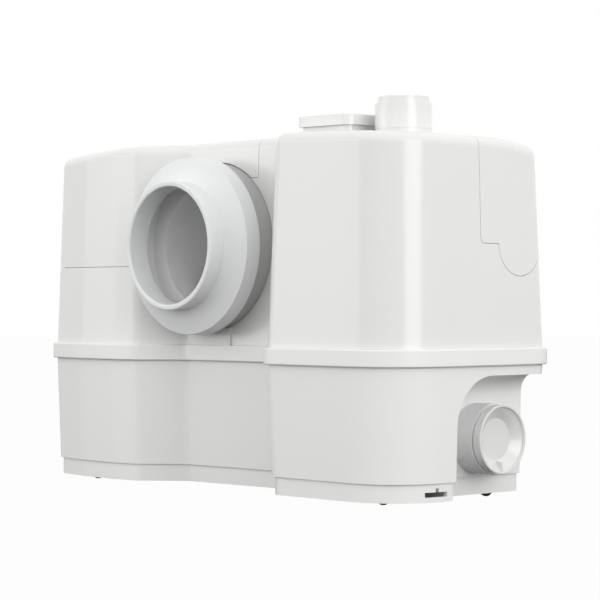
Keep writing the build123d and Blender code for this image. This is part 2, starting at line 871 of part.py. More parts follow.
def hinge_pin(x, y, z):
    half = hinge_barrel_length / 2 + ear_margin + ear_width
    return rod_y(hinge_pin_radius, y - half, y + half, x, z)


def at_motor(shape):
    return Pos(motor_x, motor_y, 0) * shape


def motor_flange():
    hub_top = can_bottom + bearing_height
    shape = post(motor_radius + mount_plate_margin, deck_top, can_bottom)
    shape += post(bearing_radius + bearing_housing_wall, can_bottom, hub_top)
    shape -= post(seal_radius + running_clearance, deck_top, deck_top + seal_body_height)
    shape -= post(seal_radius - bearing_shoulder, deck_top, can_bottom)
    shape -= post(bearing_radius + running_clearance, can_bottom, hub_top)
    shape = at_motor(shape)
    for place in motor_ears():
        x, y = place.position.X, place.position.Y
        shape += post(motor_ear_radius, deck_top, can_bottom, x, y)
        shape -= post(screw_radius + screw_hole_clearance, deck_top, can_bottom, x, y)
    return solid_of(shape)


def motor_end_cap():
    housing_radius = bearing_radius + bearing_housing_wall
    shape = post(motor_radius, can_top, can_top + end_cap_plate)
    shape += post(housing_radius, upper_bearing_z, can_top)
    shape -= post(bearing_radius + running_clearance, upper_bearing_z, upper_bearing_z + bearing_height)
    return at_motor(shape - post(shaft_radius + bearing_shoulder, upper_bearing_z, shaft_top + shaft_top_gap))


def stator_core():
    shape = tube(motor_radius - can_wall - running_clearance, stator_bore_radius, stator_bottom, stator_top)
    depth = stator_slot_depth + can_wall
    middle = stator_bore_radius + stator_slot_depth - depth / 2
    slot = Box(depth, stator_slot_width, stator_height, align=low)
    for place in PolarLocations(middle, stator_slots):
        shape -= Pos(0, 0, stator_bottom) * place * slot
    return at_motor(solid_of(shape))


def winding(bottom):
    ring = tube(winding_outer_radius, winding_inner_radius, bottom, bottom + winding_height)
    return at_motor(solid_of(ring).fillet(winding_round, ring.edges().filter_by(GeomType.CIRCLE)))


def bearing(bottom):
    inner = shaft_radius + running_clearance
    return at_motor(tube(bearing_radius, inner, bottom, bottom + bearing_height))


def motor_shaft():
    shape = post(shaft_lower_radius, shaft_bottom, casing_top_z)
    return at_motor(shape + post(shaft_radius, casing_top_z, shaft_top))


def pump_column():
    shape = tube(column_radius, column_radius - column_wall, casing_top_z, deck_top)
    width = 2 * column_radius
    for place in PolarLocations(0, column_windows):
        window = Box(width, window_width, window_top_z - window_bottom_z,
                     align=(Align.MIN, Align.CENTER, Align.MIN))
        shape -= Pos(0, 0, window_bottom_z) * place * window
    return at_motor(solid_of(shape))


def pump_casing():
    shape = at_motor(post(column_radius, casing_bottom_z, casing_top_z))
    shape += rod_x(pipe_radius, motor_x, nozzle_end_x, discharge_y, nozzle_z)
    hollow = post(chamber_radius, casing_bottom_z + casing_plate, casing_top_z - casing_plate)
    hollow += post(suction_radius, casing_bottom_z, casing_bottom_z + casing_plate)
    hollow += post(hub_radius + impeller_gap, casing_top_z - casing_plate, casing_top_z)
    shape -= at_motor(hollow)
    return solid_of(shape - rod_x(pipe_bore_radius, motor_x, nozzle_end_x, discharge_y, nozzle_z))


def impeller():
    disc_bottom = impeller_bottom + vane_height
    shape = post(impeller_radius, disc_bottom, impeller_top)
    hub_top = casing_top_z - casing_plate
    shape += post(hub_radius, impeller_bottom, hub_top)
    inner = hub_radius - vane_thickness / 2
    length = impeller_radius - hub_radius
    for place in PolarLocations(inner, vane_count):
        vane = Box(length, vane_thickness, vane_height + impeller_disc / 2,
                   align=(Align.MIN, Align.CENTER, Align.MIN))
        shape += Pos(0, 0, impeller_bottom) * place * Rot(0, 0, vane_angle) * vane
    shape &= post(impeller_radius, impeller_bottom, hub_top)
    return at_motor(solid_of(shape - post(shaft_lower_radius + running_clearance, impeller_bottom, hub_top)))


def cutter_ring():
    bottom = casing_bottom_z - cutter_ring_height
    shape = tube(cutter_ring_radius, cutter_ring_radius - cutter_ring_wall, bottom, casing_bottom_z)
    slot = Box(2 * cutter_ring_wall, cutter_slot_width, cutter_slot_height, align=low)
    rise = (cutter_ring_height - cutter_slot_height) / 2
    for place in PolarLocations(cutter_ring_radius - cutter_ring_wall / 2, cutter_ring_slots):
        shape -= Pos(0, 0, bottom + rise) * place * slot
    return at_motor(solid_of(shape))


def cutter_head():
    shape = post(hub_radius, blade_bottom_z, impeller_bottom)
    for place in PolarLocations(0, blade_count):
        blade = Box(blade_reach, blade_width, blade_thickness, align=(Align.MIN, Align.CENTER, Align.MIN))
        shape += Pos(0, 0, blade_bottom_z) * place * blade
    shape -= post(shaft_lower_radius + running_clearance, blade_bottom_z, impeller_bottom)
    return at_motor(solid_of(shape))


def cutter_nut():
    bottom = blade_bottom_z - nut_height
    sketch = Pos(0, 0, bottom) * RegularPolygon(nut_across / 2, 6, major_radius=False)
    shape = extrude(sketch, amount=nut_height)
    return at_motor(shape - post(shaft_lower_radius + running_clearance, bottom, blade_bottom_z))


def pressure_pipe():
    points = [
        (pipe_start_x, discharge_y, nozzle_z),
        (discharge_x, discharge_y, nozzle_z),
        (discharge_x, discharge_y, valve_bottom_z - small_clearance),
    ]
    return bent_tube(pipe_radius, pipe_bore_radius, points, pipe_bend)


def pipe_hose():
    middle = nozzle_end_x + pipe_gap / 2
    inner = pipe_radius + running_clearance
    return tube_x(inner + hose_wall, inner, middle - hose_half, middle + hose_half, discharge_y, nozzle_z)


def hose_clamp(x):
    inner = pipe_radius + hose_wall + 2 * running_clearance
    half = clamp_width / 2
    shape = tube_x(inner + clamp_thickness, inner, x - half, x + half, discharge_y, nozzle_z)
    ear = block(x - half, x + half, discharge_y - clamp_ear / 2, discharge_y + clamp_ear / 2,
                nozzle_z + inner, nozzle_z + inner + clamp_ear)
    return solid_of(shape + ear)


def check_valve_body():
    inner = valve_radius - valve_wall
    shape = post(valve_radius, valve_bottom_z, valve_top) - post(inner, valve_seat_z, valve_top)
    shape += post(valve_neck_radius, valve_bottom_z - valve_neck_length, valve_bottom_z)
    ear_near = hinge_barrel_length / 2 + ear_margin
    for side in (-1, 1):
        ends = (side * ear_near, side * (ear_near + ear_width))
        shape += block(-valve_hinge_reach - hinge_barrel_radius, -valve_hinge_reach + hinge_barrel_radius,
                       min(ends), max(ends), valve_seat_z - valve_plate / 2, valve_hinge_z + hinge_barrel_radius)
    shape -= rod_y(hinge_pin_radius + running_clearance, -inner, inner, -valve_hinge_reach, valve_hinge_z)
    shape -= post(valve_seat_radius, valve_bottom_z, valve_seat_z)
    neck_bore = pipe_radius + small_clearance
    shape -= post(neck_bore, valve_bottom_z - valve_neck_length, valve_bottom_z)
    return Pos(discharge_x, discharge_y, 0) * solid_of(shape)


def valve_flap():
    bottom = valve_seat_z + flap_gap
    leaf = post(valve_flap_radius, bottom, bottom + flap_thickness, discharge_x, discharge_y)
    half = flap_arm_width / 2
    leaf += block(valve_hinge_x, discharge_x, discharge_y - half, discharge_y + half, bottom, bottom + flap_thickness)
    return hinged(leaf, valve_hinge_x, discharge_y, valve_hinge_z)


def discharge_connector():
    shape = post(stub_flange_radius, valve_top, valve_top + stub_flange_height)
    shape += post(stub_root_radius, valve_top, stub_start_z)
    shape += post(stub_radius, stub_start_z, stub_step_z)
    shape += post(stub_end_radius, stub_step_z, stub_end_z)
    rims = [edge for edge in shape.edges() if edge.center().Z > stub_step_z - small_clearance]
    shape = solid_of(shape).fillet(stub_edge_radius, [edge for edge in rims if edge.geom_type == GeomType.CIRCLE
                                                     and edge.radius > stub_end_radius - small_clearance
                                                     and edge.center().Z > stub_end_z - small_clearance])
    return Pos(discharge_x, discharge_y, 0) * (shape - post(stub_bore_radius, valve_top, stub_end_z))


def vent_neck():
    shape = rounded_block(vent_neck_half, vent_neck_half, vent_neck_corner, vent_neck_bottom,
                          vent_cap_bottom_z, vent_x, vent_y)
    shape -= rounded_block(vent_bore_half, vent_bore_half, vent_bore_corner,
                           vent_neck_bottom + vent_ledge_height, vent_cap_bottom_z, vent_x, vent_y)
    hole_half = vent_bore_half - vent_ledge_width
    return shape - rounded_block(hole_half, hole_half, vent_bore_corner, vent_neck_bottom,
                                 vent_cap_bottom_z, vent_x, vent_y)


def carbon_filter():
    half = vent_bore_half - rim_clearance
    bottom = vent_neck_bottom + vent_ledge_height
    top = bottom + filter_height
    shape = rounded_block(half, half, vent_bore_corner, bottom, top, vent_x, vent_y)
    pitch = 2 * half / (filter_grooves + 1)
    for index in range(filter_grooves):
        x = vent_x - half + pitch * (index + 1)
        shape -= block(x - filter_groove_width / 2, x + filter_groove_width / 2, vent_y - half, vent_y + half,
                       top - filter_groove_depth, top)
    return solid_of(shape)


def vent_cap():
    plate = rounded_block(vent_cap_half, vent_cap_half, vent_cap_corner, vent_cap_bottom_z,
                          vent_cap_top_z, vent_x, vent_y)
    top_edges = [edge for edge in plate.edges() if edge.center().Z > vent_cap_top_z - small_clearance]
    plate = solid_of(plate).fillet(vent_cap_round, top_edges)
    plug_half = vent_bore_half - rim_clearance
    plug = rounded_block(plug_half, plug_half, vent_bore_corner, vent_cap_bottom_z - cap_skirt_depth,
                         vent_cap_bottom_z, vent_x, vent_y)
    hollow_half = plug_half - vent_cap_wall
    hollow = rounded_block(hollow_half, hollow_half, vent_bore_corner, vent_cap_bottom_z - cap_skirt_depth,
                           vent_cap_top_z - vent_cap_wall, vent_x, vent_y)
    return solid_of(plate + plug - hollow)


def pressure_bell():
    top = deck_bottom - bell_drop
    plate_bottom = top - bell_wall
    shape = tube(bell_radius, bell_radius - bell_wall, bell_bottom_z, top, bell_x, bell_y)
    shape += post(bell_radius, plate_bottom, top, bell_x, bell_y)
    shape += post(bell_neck_radius, plate_bottom, switch_bottom, bell_x, bell_y)
    return shape - post(bell_bore_radius, plate_bottom, switch_bottom, bell_x, bell_y)


def level_switch():
    shape = post(switch_radius - switch_rim, switch_bottom, switch_top, bell_x, bell_y)
    middle = (switch_bottom + switch_top) / 2
    shape += post(switch_radius, middle - switch_rim_height / 2, middle + switch_rim_height / 2, bell_x, bell_y)
    shape += block(bell_x - micro_length / 2, bell_x + micro_length / 2, bell_y - micro_width / 2,
                   bell_y + micro_width / 2, switch_top, micro_top)
    return shape - post(plunger_radius + running_clearance, micro_top - plunger_depth, micro_top, bell_x, bell_y)


def switch_plunger():
    bottom = micro_top - plunger_depth + plunger_travel + running_clearance
    neck_top = micro_top + plunger_travel + running_clearance
    shape = post(plunger_radius, bottom, neck_top, bell_x, bell_y)
    return shape + post(plunger_head_radius, neck_top, neck_top + plunger_head_height, bell_x, bell_y)


box_mid_x = (box_left_x + box_right_x) / 2
box_mid_y = (box_rear_y + box_front_y) / 2
box_half_x = (box_right_x - box_left_x) / 2
box_half_y = (box_front_y - box_rear_y) / 2


def box_layer(inset, bottom, top):
    corner = max(box_corner - inset, least_radius)
    return rounded_block(box_half_x - inset, box_half_y - inset, corner, bottom, top, box_mid_x, box_mid_y)


def board_places():
    reach_x = box_half_x - box_wall - board_margin - board_post_radius
    reach_y = box_half_y - box_wall - board_margin - board_post_radius
    return [(box_mid_x + side * reach_x, box_mid_y + end * reach_y) for side in (-1, 1) for end in (-1, 1)]


def control_box():
    shape = box_layer(0, deck_top, box_top - box_lid_height)
    shape -= box_layer(box_wall, deck_top + box_wall, box_top)
    for x, y in board_places():
        shape += post(board_post_radius, deck_top + box_wall, deck_top + box_wall + board_rise, x, y)
    return solid_of(shape)


def control_box_lid():
    shape = box_layer(0, box_top - box_lid_height, box_top)
    shape -= box_layer(box_wall, box_top - box_lid_height, box_top - box_wall)
    lip_inset = box_wall + small_clearance
    lip_bottom = box_top - box_lid_height - box_lip
    lip = box_layer(lip_inset, lip_bottom, box_top - box_lid_height + small_clearance)
    lip -= box_layer(lip_inset + box_wall, lip_bottom, box_top)
    shape += lip
    link = box_layer(box_wall / 2, box_top - box_lid_height, box_top - box_lid_height + box_wall)
    return solid_of(shape + link - box_layer(lip_inset + box_wall, lip_bottom, box_top - box_wall))


def circuit_board():
    bottom = deck_top + box_wall + board_rise
    inset = box_wall + board_margin
    board = box_layer(inset, bottom, bottom + board_thickness)
    relay = block(box_left_x + inset + board_margin, box_left_x + inset + board_margin + micro_length,
                  box_front_y - inset - board_margin - micro_height, box_front_y - inset - board_margin,
                  bottom, bottom + board_thickness + micro_height)
    return solid_of(board + relay)


def capacitor():
    z = deck_top + box_wall + board_rise + board_thickness + capacitor_radius
    y = box_rear_y + box_wall + board_margin + capacitor_radius
    half = capacitor_length / 2
    shape = rod_x(capacitor_radius, box_mid_x - half, box_mid_x + half, y, z)
    return solid_of(shape).fillet(least_radius, shape.edges().filter_by(GeomType.CIRCLE))


def cable_gland():
    wall_y = half_depth - draft_slope_share * (gland_z - deck_top)
    shape = rod_y(gland_radius, wall_y - gland_length, wall_y, gland_x, gland_z)
    lean = draft_slope_share * gland_flange_radius + small_clearance
    shape += rod_y(gland_flange_radius, wall_y + lean, wall_y + gland_flange, gland_x, gland_z)
    shape += rod_y(gland_radius, wall_y, wall_y + gland_flange, gland_x, gland_z)
    inside = wall_y - cover_wall - lean - small_clearance
    shape += rod_y(gland_flange_radius, inside - gland_nut_width, inside, gland_x, gland_z)
    return solid_of(shape - rod_y(gland_bore_radius, wall_y - gland_length, wall_y + gland_flange, gland_x, gland_z))


housing, cover = upper_casing()
save("upper_housing", housing)
save("service_cover", cover)
save("tank", tank())
save("tank_seal", tank_seal())
save("tank_lid", tank_lid())
save("lid_screws", *[screw(x, y, deck_top, screw_length) for x, y in screw_table])
save("rubber_feet", *[foot(x, y) for x, y in foot_table])
save("wc_collar", wc_collar())
save("wc_elbow", wc_elbow())
save("elbow_seal", elbow_seal())
save("side_inlet_sleeve", tube_x(sleeve_radius, spigot_radius + small_clearance,
                                 niche_x + sleeve_start_gap, spigot_end_x, side_y, side_z))
save("side_inlet_stopper", stopper())
save("side_inlet_flap", inlet_flap())
save("flap_pins", hinge_pin(inlet_hinge_x, side_y, inlet_hinge_z),
     hinge_pin(valve_hinge_x, discharge_y, valve_hinge_z))
save("motor_flange", motor_flange())
save("motor_screws", *[screw(place.position.X, place.position.Y, can_bottom, screw_length)
                       for place in motor_ears()])
save("motor_can", at_motor(tube(motor_radius, motor_radius - can_wall, can_bottom, can_top)))
save("motor_end_cap", motor_end_cap())
save("stator_core", stator_core())
save("stator_windings", winding(stator_bottom - winding_height), winding(stator_top))
save("motor_bearings", bearing(can_bottom), bearing(upper_bearing_z))
save("shaft_seal", at_motor(tube(seal_radius, shaft_radius + small_clearance, deck_top,
                                 deck_top + seal_body_height)))
save("rotor_core", at_motor(tube(stator_bore_radius - rotor_air_gap, shaft_radius + running_clearance,
                                 stator_bottom, stator_top)))
save("motor_shaft", motor_shaft())
save("impeller", impeller())
save("cutter_head", cutter_head())
save("cutter_nut", cutter_nut())
save("pump_column", pump_column())
save("pump_casing", pump_casing())
save("cutter_ring", cutter_ring())
save("pressure_pipe", pressure_pipe())
save("pipe_hose", pipe_hose())
save("hose_clamps", hose_clamp(nozzle_end_x - clamp_inset), hose_clamp(pipe_start_x + clamp_inset))
save("check_valve_body", check_valve_body())
save("valve_flap", valve_flap())
save("discharge_connector", discharge_connector())
save("vent_neck", vent_neck())
save("carbon_filter", carbon_filter())
save("vent_cap", vent_cap())
save("pressure_bell", pressure_bell())
save("level_switch", level_switch())
save("switch_plunger", switch_plunger())
save("control_box", control_box())
save("control_box_lid", control_box_lid())
save("circuit_board", circuit_board())
save("capacitor", capacitor())
save("cable_gland", cable_gland())
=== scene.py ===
import json
import math
import bpy
import bmesh
from mathutils import Matrix, Vector


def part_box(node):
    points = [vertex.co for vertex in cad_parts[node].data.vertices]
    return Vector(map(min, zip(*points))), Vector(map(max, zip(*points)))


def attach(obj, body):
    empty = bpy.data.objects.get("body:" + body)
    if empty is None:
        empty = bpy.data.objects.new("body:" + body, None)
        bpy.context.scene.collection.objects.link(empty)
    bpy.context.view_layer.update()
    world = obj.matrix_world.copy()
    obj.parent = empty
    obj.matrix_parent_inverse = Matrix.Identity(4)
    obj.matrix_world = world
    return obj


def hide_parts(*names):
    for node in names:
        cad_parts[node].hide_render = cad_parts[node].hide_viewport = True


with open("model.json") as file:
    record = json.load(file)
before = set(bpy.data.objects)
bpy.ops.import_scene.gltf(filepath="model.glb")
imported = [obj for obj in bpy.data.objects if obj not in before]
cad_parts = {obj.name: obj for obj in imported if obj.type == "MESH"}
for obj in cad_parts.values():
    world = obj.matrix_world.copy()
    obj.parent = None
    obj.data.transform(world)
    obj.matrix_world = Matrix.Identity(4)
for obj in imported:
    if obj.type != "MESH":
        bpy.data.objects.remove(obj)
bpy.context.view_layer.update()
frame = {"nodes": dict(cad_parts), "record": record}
nodes = frame["nodes"]
print("frame loaded:", len(nodes), "nodes")


# a node's socket that can be used in sums; add() puts in any other node
class Flow:
    def __init__(self, tree, socket):
        self.tree = tree
        self.socket = socket

    def add(self, kind, settings=None, sockets=None, out=0):
        made = self.tree.nodes.new(kind)
        for name, value in (settings or {}).items():
            if name == "stops":
                self.fillRamp(made.color_ramp, value)
            else:
                setattr(made, name, value)
        for key, value in (sockets or {}).items():
            if isinstance(value, Flow):
                self.tree.links.new(value.socket, made.inputs[key])
            else:
                made.inputs[key].default_value = value
        return Flow(self.tree, made.outputs[out])

    def fillRamp(self, ramp, stops):
        while len(ramp.elements) > len(stops):
            ramp.elements.remove(ramp.elements[-1])
        while len(ramp.elements) < len(stops):
            ramp.elements.new(1.0)
        for element, (place, colour) in zip(ramp.elements, stops):
            element.position = place
            element.color = colour

    def maths(self, operation, *values):
        sockets = {place: value for place, value in enumerate(values)}
        return self.add("ShaderNodeMath", {"operation": operation}, sockets)

    def __add__(self, other):
        return self.maths("ADD", self, other)

    def __radd__(self, other):
        return self.maths("ADD", other, self)

    def __sub__(self, other):
        return self.maths("SUBTRACT", self, other)

    def __rsub__(self, other):
        return self.maths("SUBTRACT", other, self)

    def __mul__(self, other):
        return self.maths("MULTIPLY", self, other)

    def __rmul__(self, other):
        return self.maths("MULTIPLY", other, self)

    def __truediv__(self, other):
        return self.maths("DIVIDE", self, other)


def grey(value):
    return (value, value, value, 1.0)


def middleOf(name):
    low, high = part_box(name)
    return (Vector(low) + Vector(high)) / 2


# a material's shader with its object coordinates, and the patterns that are painted on it
class Finish:
    def __init__(self, name, fixed):
        self.material = bpy.data.materials.new(name)
        self.material.use_nodes = True
        self.tree = self.material.node_tree
        self.shader = self.tree.nodes["Principled BSDF"]
        for key, value in fixed.items():
            self.shader.inputs[key].default_value = value
        start = Flow(self.tree, None)
        self.place = start.add("ShaderNodeTexCoord", out="Object")

    def axis(self, letter):
        return self.place.add("ShaderNodeSeparateXYZ", sockets={0: self.place}, out=letter)

    def noise(self, scale, detail, stretch=None):
        spot = self.place
        if stretch:
            spot = spot.add("ShaderNodeMapping", sockets={"Vector": spot, "Scale": stretch})
        return spot.add("ShaderNodeTexNoise", sockets={"Vector": spot, "Scale": scale, "Detail": detail})

    def cells(self, scale):
        return self.place.add("ShaderNodeTexVoronoi", {"feature": "F1"},
                              {"Vector": self.place, "Scale": scale}, out="Distance")

    def blendColours(self, mask, first, second):
        return mask.add("ShaderNodeMix", {"data_type": "RGBA"}, {"Factor": mask, 6: first, 7: second}, out=2)

    def paint(self, socket, flow):
        self.tree.links.new(flow.socket, self.shader.inputs[socket])

    def relief(self, height, distance, strength):
        bump = height.add("ShaderNodeBump", sockets={"Height": height, "Distance": distance,
                                                     "Strength": strength})
        self.paint("Normal", bump)


# clouded finishes; a cloud, spread or grain is a noise given by its scale and its detail
mouldGrain = {"cloud": (9.0, 2.0), "spread": (34.0, 3.0), "grain": (700.0, 1.0), "height": 0.00001,
              "strength": 0.2}
cloudedValues = {
    "casingWhite": {
        "fixed": {"Coat Weight": 0.7, "Coat Roughness": 0.12, "IOR": 1.5},
        "base": (0.735, 0.735, 0.725, 1.0), "shade": (0.72, 0.72, 0.71, 1.0),
        "rough": (0.27, 0.29), **mouldGrain,
    },
    # painted light: the tank is the same plastic as the casing, its colour made lighter to stand in for light
    # on the lower tank
    "tankWhite": {
        "fixed": {"Coat Weight": 0.4, "Coat Roughness": 0.12, "IOR": 1.5},
        "base": (0.815, 0.815, 0.805, 1.0), "shade": (0.8, 0.8, 0.79, 1.0),
        "rough": (0.33, 0.35), **mouldGrain,
    },
    "innerGrey": {
        "fixed": {"IOR": 1.5},
        "base": (0.84, 0.845, 0.84, 1.0), "shade": (0.82, 0.825, 0.82, 1.0),
        "rough": (0.44, 0.46), **mouldGrain,
    },
    "collarRubber": {
        "fixed": {"IOR": 1.45, "Sheen Weight": 0.05},
        "base": (0.76, 0.765, 0.77, 1.0), "shade": (0.74, 0.745, 0.75, 1.0), "cloud": (14.0, 3.0),
        "rough": (0.45, 0.57), "spread": (60.0, 2.0),
        "grain": (900.0, 2.0), "height": 0.00005, "strength": 0.3,
    },
    "sealRubber": {
        "fixed": {"IOR": 1.5},
        "base": (0.022, 0.022, 0.024, 1.0), "shade": (0.05, 0.05, 0.052, 1.0), "cloud": (120.0, 4.0),
        "rough": (0.5, 0.75), "spread": (300.0, 2.0),
        "grain": (1500.0, 2.0), "height": 0.00006, "strength": 0.4,
    },
    "darkPlastic": {
        "fixed": {"IOR": 1.5},
        "base": (0.028, 0.029, 0.031, 1.0), "shade": (0.045, 0.046, 0.05, 1.0), "cloud": (80.0, 3.0),
        "rough": (0.42, 0.54), "spread": (500.0, 1.0),
        "grain": (1800.0, 1.0), "height": 0.00006, "strength": 0.5,
    },
    "copperWire": {
        "fixed": {"Metallic": 0.85, "Coat Weight": 0.5, "Coat Roughness": 0.15},
        "base": (0.60, 0.22, 0.08, 1.0), "shade": (0.72, 0.32, 0.13, 1.0), "cloud": (70.0, 3.0),
        "rough": (0.25, 0.45), "spread": (240.0, 2.0),
    },
}


def clouded(name):
    values = cloudedValues[name]
    finish = Finish(name, values["fixed"])
    low, high = values["rough"]
    cloud = finish.noise(*values["cloud"])
    finish.paint("Base Color", finish.blendColours(cloud, values["base"], values["shade"]))
    finish.paint("Roughness", low + (high - low) * finish.noise(*values["spread"]))
    if "grain" in values:
        finish.relief(finish.noise(*values["grain"]), values["height"], values["strength"])
    return finish.material


# the elbow, one plastic in two tones: painted light, a lighter colour inside the bore, and painted shade, a
# dark colour on the outside of the neck behind the collar
# base is the bore's colour, made lighter as painted light; the neck colour is painted shade for the neck's
# outside
elbowValues = {"fixed": {"IOR": 1.5}, "base": (0.88, 0.885, 0.88, 1.0), "shade": (0.86, 0.865, 0.86, 1.0),
               "neck": (0.46, 0.465, 0.46, 1.0), "paintedShadeRadius": 0.0615, "rough": (0.44, 0.46), **mouldGrain}


def elbowPlastic():
    values = elbowValues
    finish = Finish("elbowGrey", values["fixed"])
    low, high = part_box("wc_collar")
    across = finish.axis("X") - (low[0] + high[0]) / 2
    upward = finish.axis("Z") - (low[2] + high[2]) / 2
    spread = across * across + upward * upward
    # painted shade: beyond this radius from the collar's axis the neck is darkened, where shade falls behind
    # the collar
    paintedShadeMask = spread.maths("GREATER_THAN", spread, values["paintedShadeRadius"] ** 2)
    light = finish.blendColours(finish.noise(*values["cloud"]), values["base"], values["shade"])
    finish.paint("Base Color", finish.blendColours(paintedShadeMask, light, values["neck"]))
    least, most = values["rough"]
    finish.paint("Roughness", least + (most - least) * finish.noise(*values["spread"]))
    finish.relief(finish.noise(*values["grain"]), values["height"], values["strength"])
    return finish.material


# steel brushed along one direction
steelValues = {"scale": 60.0, "detail": 3.0, "stretch": (30.0, 30.0, 0.6), "base": (0.52, 0.53, 0.54, 1.0),
               "shade": (0.66, 0.66, 0.67, 1.0), "rough": (0.22, 0.38), "height": 0.00003, "strength": 0.3}


def brushedSteel():
    values = steelValues
    finish = Finish("brushedSteel", {"Metallic": 1.0})
    streaks = finish.noise(values["scale"], values["detail"], values["stretch"])
    low, high = values["rough"]
    finish.paint("Base Color", finish.blendColours(streaks, values["base"], values["shade"]))
    finish.paint("Roughness", low + (high - low) * streaks)
    finish.relief(streaks, values["height"], values["strength"])
    return finish.material


# steel sheets stacked up the motor's axis, one to a millimetre
sheetValues = {"thickness": 0.001, "edge": 0.35, "gap": (0.10, 0.09, 0.085, 1.0),
               "sheet": (0.36, 0.36, 0.37, 1.0), "rough": (0.32, 0.52), "spread": (200.0, 2.0),
               "height": 0.00015, "strength": 0.6}


def sheetStack():
    values = sheetValues
    finish = Finish("sheetStack", {"Metallic": 0.9})
    turns = finish.axis("Z") * (2 * math.pi / values["thickness"])
    sheets = turns.maths("SINE", turns) * 0.5 + 0.5
    stops = [(0.0, grey(0.0)), (values["edge"], grey(1.0))]
    edge = sheets.add("ShaderNodeValToRGB", {"stops": stops}, {0: sheets})
    low, high = values["rough"]
    finish.paint("Base Color", finish.blendColours(edge, values["gap"], values["sheet"]))
    finish.paint("Roughness", low + (high - low) * finish.noise(*values["spread"]))
    finish.relief(sheets, values["height"], values["strength"])
    return finish.material


alloyValues = {"grain": (600.0, 4.0), "base": (0.36, 0.36, 0.37, 1.0), "shade": (0.50, 0.50, 0.51, 1.0),
               "rough": (0.45, 0.65), "height": 0.0002, "strength": 0.5}


def castAlloy():
    values = alloyValues
    finish = Finish("castAlloy", {"Metallic": 0.8})
    grain = finish.noise(*values["grain"])
    low, high = values["rough"]
    finish.paint("Base Color", finish.blendColours(grain, values["base"], values["shade"]))
    finish.paint("Roughness", low + (high - low) * grain)
    finish.relief(grain, values["height"], values["strength"])
    return finish.material


# solder mask over straight copper tracks
boardValues = {"tracksPerMetre": 1250.0, "trackShare": 0.62, "gapScale": 55.0, "gapStretch": (1.0, 6.0, 1.0),
               "gapShare": 0.5, "mask": (0.012, 0.10, 0.04, 1.0), "track": (0.03, 0.21, 0.08, 1.0),
               "rough": (0.35, 0.45), "spread": (300.0, 1.0), "height": 0.00004, "strength": 0.6}


def boardGreen():
    values = boardValues
    finish = Finish("boardGreen", {"Coat Weight": 0.4, "Coat Roughness": 0.2})
    across = finish.axis("Y") * values["tracksPerMetre"]
    tracks = across.maths("PINGPONG", across, 1.0)
    track = tracks.maths("GREATER_THAN", tracks, values["trackShare"])
    gaps = finish.noise(values["gapScale"], 0.0, values["gapStretch"])
    track = track * gaps.maths("GREATER_THAN", gaps, values["gapShare"])
    low, high = values["rough"]
    finish.paint("Base Color", finish.blendColours(track, values["mask"], values["track"]))
    finish.paint("Roughness", low + (high - low) * finish.noise(*values["spread"]))
    finish.relief(track, values["height"], values["strength"])
    return finish.material


carbonValues = {"cells": 700.0, "base": (0.035, 0.035, 0.036, 1.0), "shade": (0.008, 0.008, 0.009, 1.0),
                "rough": (0.7, 0.9), "spread": (500.0, 2.0), "height": 0.0006, "strength": 0.8}


def carbonBlack():
    values = carbonValues
    finish = Finish("carbonBlack", {})
    grain = finish.cells(values["cells"])
    low, high = values["rough"]
    finish.paint("Base Color", finish.blendColours(grain, values["base"], values["shade"]))
    finish.paint("Roughness", low + (high - low) * finish.noise(*values["spread"]))
    finish.relief(grain, values["height"], values["strength"])
    return finish.material


finishes = {
    "casing_white": clouded("casingWhite"),
    "tank_white": clouded("tankWhite"),
    "grey_plastic": clouded("innerGrey"),
    "collar_rubber": clouded("collarRubber"),
    "seal_rubber": clouded("sealRubber"),
    "dark_plastic": clouded("darkPlastic"),
    "steel": brushedSteel(),
    "laminated_steel": sheetStack(),
    "copper_winding": clouded("copperWire"),
    "cast_alloy": castAlloy(),
    "board_green": boardGreen(),
    "filter_black": carbonBlack(),
}

finishOfNode = {"wc_elbow": elbowPlastic()}
slotOfNode = {entry["node"]: entry["material_slot"] for entry in frame["record"]["subparts"]}
for name, part in nodes.items():
    finish = finishOfNode.get(name, finishes[slotOfNode[name]])
    if part.material_slots:
        for holder in part.material_slots:
            holder.material = finish
    else:
        part.data.materials.append(finish)
print("finishes ready:", len(finishes))


# a geometry tree with named inputs; its last nodes are Realize Instances and Set Material
class Recipe:
    def __init__(self, name, values):
        self.tree = bpy.data.node_groups.new(name, "GeometryNodeTree")
        self.values = values
        face = self.tree.interface
        face.new_socket("Geometry", in_out="OUTPUT", socket_type="NodeSocketGeometry")
        kinds = {int: "NodeSocketInt", float: "NodeSocketFloat", tuple: "NodeSocketVector"}
        self.identifiers = {}
        for key, value in values.items():
            made = face.new_socket(key, in_out="INPUT", socket_type=kinds[type(value)])
            self.identifiers[key] = made.identifier
        made = face.new_socket("Material", in_out="INPUT", socket_type="NodeSocketMaterial")
        self.identifiers["Material"] = made.identifier
        self.group = self.tree.nodes.new("NodeGroupInput")
        self.start = Flow(self.tree, None)

    def take(self, name):
        return Flow(self.tree, self.group.outputs[name])

    def vector(self, x, y, z):
        return self.start.add("ShaderNodeCombineXYZ", sockets={0: x, 1: y, 2: z})

    def roundBar(self, start, end, radius, sides):
        line = self.start.add("GeometryNodeCurvePrimitiveLine", sockets={"Start": start, "End": end})
        ring = self.start.add("GeometryNodeCurvePrimitiveCircle", sockets={"Resolution": sides,
                                                                           "Radius": radius})
        return self.start.add("GeometryNodeCurveToMesh", sockets={"Curve": line, "Profile Curve": ring,
                                                                  "Fill Caps": True})

    def shift(self, geometry, place):
        return geometry.add("GeometryNodeTransform", sockets={"Geometry": geometry, "Translation": place})

    def finish(self, geometry):
        real = geometry.add("GeometryNodeRealizeInstances", sockets={0: geometry})
        painted = real.add("GeometryNodeSetMaterial", sockets={"Geometry": real,
                                                               "Material": self.take("Material")})
        out = self.tree.nodes.new("NodeGroupOutput")
        self.tree.links.new(painted.socket, out.inputs[0])


